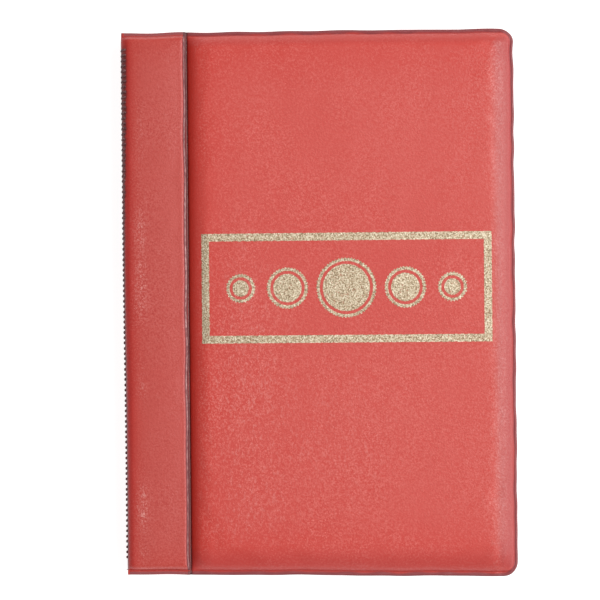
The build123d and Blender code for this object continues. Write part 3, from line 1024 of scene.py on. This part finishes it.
tv, tf = [], []
N_ST = 98
rngs = np.random.default_rng(77)
for s_i in range(N_ST):
    y0 = (s_i - (N_ST - 1) / 2) * PITCH
    f = (y0 + 94) / 188.0
    a_end = 12 + 48 * smooth(0.35, 0.98, f) + rngs.uniform(-2.5, 2.5)
    pts = []
    for a in np.linspace(a_end, 0, 7):
        t = math.radians(a)
        off = 0.30 if a < a_end - 1 else -0.15
        pts.append((-68.2 - (3.3 + off) * math.cos(t), 14.9 + (2.80 + off) * math.sin(t)))
    for z in (12.5, 10.0, 7.5, 5.0, 3.2):
        pts.append((-71.80, z))
    pts += [(-71.72, 2.2), (-71.45, 1.35), (-70.9, 0.75)]
    pts = np.array(pts)
    dyj = rngs.uniform(-0.10, 0.10)
    y = y0 + dyj + np.linspace(0.55, -0.55, len(pts))
    C = np.stack([pts[:, 0] + lean(y), y, pts[:, 1]], 1)
    T = np.gradient(C, axis=0)
    T /= np.linalg.norm(T, axis=1, keepdims=True)
    rad = 0.40 * (1 + rngs.uniform(-0.06, 0.06))
    m = 8
    b0 = len(tv)
    for i in range(len(C)):
        side = np.cross(T[i], [0, 1, 0])
        side /= np.linalg.norm(side) + 1e-9
        up = np.cross(side, T[i])
        r_i = rad * (0.75 if i in (0, len(C) - 1) else 1.0)
        for q in range(m):
            g = 2 * math.pi * q / m
            tv.append((C[i] + r_i * (math.cos(g) * side * 0.75 + math.sin(g) * up)).tolist())
    for i in range(len(C) - 1):
        for q in range(m):
            q2 = (q + 1) % m
            tf.append((b0 + i * m + q, b0 + i * m + q2, b0 + (i + 1) * m + q2, b0 + (i + 1) * m + q))
    tf.append(tuple(b0 + q for q in reversed(range(m))))
    tf.append(tuple(b0 + (len(C) - 1) * m + q for q in range(m)))
stitches = make("spine_thread", tv, tf, [M_THREAD])
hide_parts("spine_stitching")
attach(stitches, "root")

# ----------------------------------------------------------------- back cover
bx = lines(
    (-71.5, -70.3, 0.3), (-70.3, -68, 0.6), (-68, -50, 2.0), (-50, -42, 0.6), (-42, 62, 2.0), (62, 68.0, 0.8),
    (68.0, 72, 0.3),
)
by = lines((-100, -96, 0.3), (-96, -91, 0.8), (-91, 91, 2.0), (91, 96, 0.8), (96, 100, 0.3))
bgx, bgy = np.meshgrid(bx, by)
bgx, bgy, bgd = round_corners(bgx, bgy, X_FORE, HALF, CORNER)
dl = bgx - X_SPINE
sb = roll((X_FORE - bgx - 1.8) / 4.5, 2.2, 0.55) * roll((HALF - np.abs(bgy) - 1.8) / 4.5, 2.2, 0.55)
sb = sb * np.clip((bgd - 1.7) / 1.2, 0, 1) ** 0.5 * (0.25 + 0.75 * roll(dl / 2.2, 2.0, 0.55))
bz = 2.4 * (1 - sb)
bz = bz + 0.55 * gauss(bgx + 46.0, 1.3) * sb
bz = bz + 0.26 * gauss(bgd - 1.75, 0.42)
bz = np.maximum(bz + 0.02 * (1 - sb) * mid_h(bgx * 2, bgy * 2), 0.0)
b_flex = smooth(2.0, 6.0, bgd) * smooth(1.0, 5.0, dl)
b_rise = puff("back_blank", np.stack([bgx, bgy, -bz], 2), 1 - b_flex, 0.6, 0.45)
print("back rise mm", float(b_rise.min()), float(b_rise.max()), float(b_rise.std()))
bz = np.maximum(bz - 0.42 * relax(b_rise, 3) * b_flex, 0.0)
box_, boy_ = outline(bgx, bgy, -0.8)
bP = np.stack([box_, boy_, bz], 2)[:, ::-1]
# painted shade in the weld groove and the hinge groove; painted light lower towards the edges
back = slab(
    "back_cover_vinyl", bP, 0.6, [M_VINYL],
    {
        "rim": (0.95 * (1 - smooth(0.75, 1.45, bgd)))[:, ::-1],
        "painted_shade": np.clip(gauss(bgd - 1.75, 0.5) + 0.4 * gauss(bgx + 46, 1.0), 0, 1)[:, ::-1],
        "painted_light": (0.30 + 0.25 * smooth(5, 20, bgd))[:, ::-1],
    },
)
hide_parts("back_cover_skin")
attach(back, "root")

bl_x = lines((-71.5, -64, 1.5), (-64, 64, 2.6), (64, 69.0, 0.8), (69.0, 72, 0.3))
bgx2, bgy2 = np.meshgrid(bl_x, ly)
bgx2, bgy2, bgd2 = round_corners(bgx2, bgy2, X_FORE, HALF, CORNER)
b2x, b2y = outline(bgx2, bgy2, -0.8)
blz = 3.4 - 0.16 * gauss(bgd2 - 1.9, 0.6) * (bgx2 > -47)
# painted shade in the lining's weld groove
bl = slab(
    "back_cover_inner_vinyl", np.stack([b2x, b2y, blz], 2), 0.4, [M_LINING],
    {"rim": 0.9 * (1 - smooth(0.4, 1.1, bgd2)), "painted_shade": gauss(bgd2 - 1.9, 0.6) * 0.6, "painted_light": 0.45 + 0 * bgd2},
    inner=np.stack([b2x, b2y, 0 * blz + 2.98], 2),
)
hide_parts("back_cover_lining")
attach(bl, "root")

bfx = lines((-69.5, 68.0, 3.0))
bfy = lines((-96, 96, 3.0))
bfgx, bfgy = np.meshgrid(bfx, bfy)
bfz = 0.75 + 0.5 * gauss(bfgx + 46.0, 1.6) + 0 * bfgy
lowr = np.stack([bfgx, bfgy, np.minimum(bfz, 1.5)], 2)[:, ::-1]
uppr = np.stack([bfgx, bfgy, 0 * bfz + 1.6], 2)[:, ::-1]
bpad = slab("back_cover_pad", lowr, 0.8, [M_FOAM], inner=uppr)
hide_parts("back_cover_foam")
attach(bpad, "root")

# ---------------------------------------------------------------------- pages
N_LEAF, LEAF_P, LEAF_Z0 = 10, 0.9, 3.7
PX0, PX1, PH = -40.0, 68.0, 95.0
PCX = (PX0 + PX1) / 2 + 0.6
PPX, PPY = 34.4, 46.2
PC_X = [PCX - PPX, PCX, PCX + PPX]
PC_Y = [-1.5 * PPY, -0.5 * PPY, 0.5 * PPY, 1.5 * PPY]
SLOT_DY = PPY / 2 - 3.0

pgx = [PX0, PX0 + 0.5]
for c in PC_X:
    pgx += [c + t for t in (-17.2, -16.9, -16.3, -15.4, -14.2, -13.5, -12.4, -10, -7.5, -5, -2.5, 0, 2.5, 5, 7.5, 10, 12.4, 13.5, 14.2, 15.4, 16.3, 16.9)]
pgx += [PC_X[-1] + 17.2, PX1 - 1.0, PX1]
pgx = np.array(sorted(set(np.round(pgx, 3))))
pgy = [-PH, -PH + 1.0]
for c in PC_Y:
    pgy += [c + t for t in (-23.1, -22.8, -22.1, -21.0, -19.5, -17, -14, -10, -6, -2, 2, 6, 10, 14, 17, 18.6, SLOT_DY - 0.62, SLOT_DY, SLOT_DY + 0.62, 21.5, 22.2, 22.8)]
pgy += [PC_Y[-1] + 23.1, PH - 0.6, PH]
pgy = np.array(sorted(set(np.round(pgy, 3))))
# the slot's own rows are the two lips only
drop = np.array([any(abs(v - (c + SLOT_DY)) < 1e-3 for c in PC_Y) for v in pgy])
pgy = pgy[~drop]
fgX, fgY = np.meshgrid(pgx, pgy)
fR = np.full(fgX.shape, 1.0)
puff = np.zeros_like(fgX)
lip = np.zeros_like(fgX)
for c in PC_X:
    for d in PC_Y:
        u = (fgX - c) / 16.3
        v = (fgY - d) / 22.2
        inside = (np.abs(u) < 1) & (np.abs(v) < 1)
        s = np.where(inside, (1 - np.abs(u) ** 4) * (1 - np.abs(v) ** 5), 0)
        puff = np.maximum(puff, s)
puff_w = waves(41, 8, 16, 40)
puff_n = np.clip(1 + 0.22 * puff_w(fgX, fgY), 0.5, 1.3)
weld_attr = np.clip(1 - puff * 6, 0, 1)
hole = np.zeros((len(pgy) - 1, len(pgx) - 1), bool)
for c in PC_X:
    for d in PC_Y:
        y_lo = np.round(d + SLOT_DY - 0.62, 3)
        y_hi = np.round(d + SLOT_DY + 0.62, 3)
        jl = int(np.argmin(np.abs(pgy - y_lo)))
        jh = int(np.argmin(np.abs(pgy - y_hi)))
        for j_, sg in ((jl, -1), (jh, 1)):
            u = (pgx - c) / 13.5
            near = np.abs(pgx - c) <= 17.0
            half_w = 0.05 + 0.57 * np.sqrt(np.clip(1 - u * u, 0, 1))
            fgY[j_, near] = d + SLOT_DY + sg * half_w[near]
        for i_ in range(len(pgx) - 1):
            if pgx[i_] >= c - 13.51 and pgx[i_ + 1] <= c + 13.51:
                hole[jl, i_] = True
        # the lower lip stands up a little
        lip[jl] += 0.05 * np.clip(1 - ((pgx - c) / 13.5) ** 2, 0, None) * (np.abs(pgx - c) < 13.5)

# rounded outer corners of the leaf
rgX, rgY, _ = round_corners(fgX, fgY, PX1, PH, 3.0)
film_h = 0.05 + 0.155 * puff * puff_n
film_h = np.minimum(film_h + lip * 0.5, 0.24)


def film_mesh(name, up):
    z = 0.17 + film_h if up else -(0.17 + film_h)
    zin = z - 0.045 if up else z + 0.045
    A = np.stack([rgX, rgY, z], 2)
    B = np.stack([rgX, rgY, zin], 2)
    at = {"rim": weld_attr}
    h = hole
    if not up:
        A, B, at, h = A[:, ::-1], B[:, ::-1], {"rim": weld_attr[:, ::-1]}, hole[:, ::-1]
    return slab(name, A, 0.05, [M_FILM], at, inner=B, hole=h)


front_master = film_mesh("page_01_pockets_front", True)
back_master = film_mesh("page_01_pockets_back", False)
mgx = lines((-70.6, -48.4, 3.2), (-48.4, -47.6, 0.4), (-47.6, -40.6, 0.35), (-40.6, -40.0, 0.3))
mgy = lines((-95, 95, 3.8))
for k in range(1, N_LEAF + 1):
    body = f"page_{k:02d}"
    zmid = LEAF_Z0 + (N_LEAF - k) * LEAF_P + 0.35
    for up, master in ((True, front_master), (False, back_master)):
        side = "front" if up else "back"
        if k == 1:
            ob = master
        else:
            ob = bpy.data.objects.new(f"{body}_pockets_{side}", master.data)
            scene.collection.objects.link(ob)
        ob.location = (0, 0, zmid * MM)
        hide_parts(f"{body}_{side}_film")
        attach(ob, body)
    MX, MY = np.meshgrid(mgx, mgy)
    th = np.where(MX < -48.2, 0.24, 0.24 - 0.08 * smooth(-48.2, -41, MX))
    mz = zmid + th
    mq = zmid - th
    mg = slab(
        f"{body}_gutter", np.stack([MX, MY, mz], 2), 0.4, [M_DIV], inner=np.stack([MX, MY, mq], 2)
    )
    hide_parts(f"{body}_margin")
    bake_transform(mg)

# ------------------------------------------- CAD pieces that stay in the view
STAY = {
    "back_cover_board": M_BOARD,
    "back_strip_board": M_BOARD,
    "binding_spacers": M_BOARD,
    "binding_strip_board": M_BOARD,
    "front_cover_board": M_BOARD,
    "front_cover_tab": M_LINING,
}
for k in range(1, N_LEAF + 1):
    STAY[f"page_{k:02d}_divider"] = M_DIV
for node, m in STAY.items():
    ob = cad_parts[node]
    ob.data.materials.clear()
    ob.data.materials.append(m)

# --------------------------------------------------------------- stage, lights
me = bpy.data.meshes.new("floor")
S = 1.6
me.from_pydata([(-S, -S, -0.0001), (S, -S, -0.0001), (S, S, -0.0001), (-S, S, -0.0001)], [], [(0, 1, 2, 3)])
me.materials.append(M_FLOOR)
floor = bpy.data.objects.new("floor", me)
scene.collection.objects.link(floor)

world = bpy.data.worlds.new("studio")
scene.world = world
world.use_nodes = True
world.node_tree.nodes["Background"].inputs["Color"].default_value = (1.0, 1.0, 1.0, 1)
# a dim room overhead, brighter low down round the horizon where the paper sweeps up
wnt = world.node_tree
wco = wnt.nodes.new("ShaderNodeTexCoord")
wsep = wnt.nodes.new("ShaderNodeSeparateXYZ")
wnt.links.new(wco.outputs["Generated"], wsep.inputs["Vector"])
wrp = wnt.nodes.new("ShaderNodeValToRGB")
wrp.color_ramp.elements[0].position = 0.16
wrp.color_ramp.elements[0].color = (1.0, 1.0, 1.0, 1)
wrp.color_ramp.elements[1].position = 0.42
wrp.color_ramp.elements[1].color = (0.28, 0.28, 0.28, 1)
wnt.links.new(wsep.outputs["Z"], wrp.inputs["Fac"])
wnt.links.new(wrp.outputs["Color"], wnt.nodes["Background"].inputs["Color"])
wnt.nodes["Background"].inputs["Strength"].default_value = 1.0


def area(name, loc, target, size, power, color=(1, 1, 1)):
    d = bpy.data.lights.new(name, "AREA")
    d.shape = "DISK"
    d.size = size
    d.energy = power
    d.color = color
    o = bpy.data.objects.new(name, d)
    scene.collection.objects.link(o)
    o.location = loc
    o.rotation_euler = (Vector(target) - Vector(loc)).to_track_quat("-Z", "Y").to_euler()
    return o


area("key", (1.20, 0.24, 1.84), (0, 0, 0), 1.25, 39.2, (1.0, 0.99, 0.98))
area("side", (1.9, 0.20, 0.80), (0, 0, 0), 1.4, 6.0, (0.99, 0.995, 1.0))
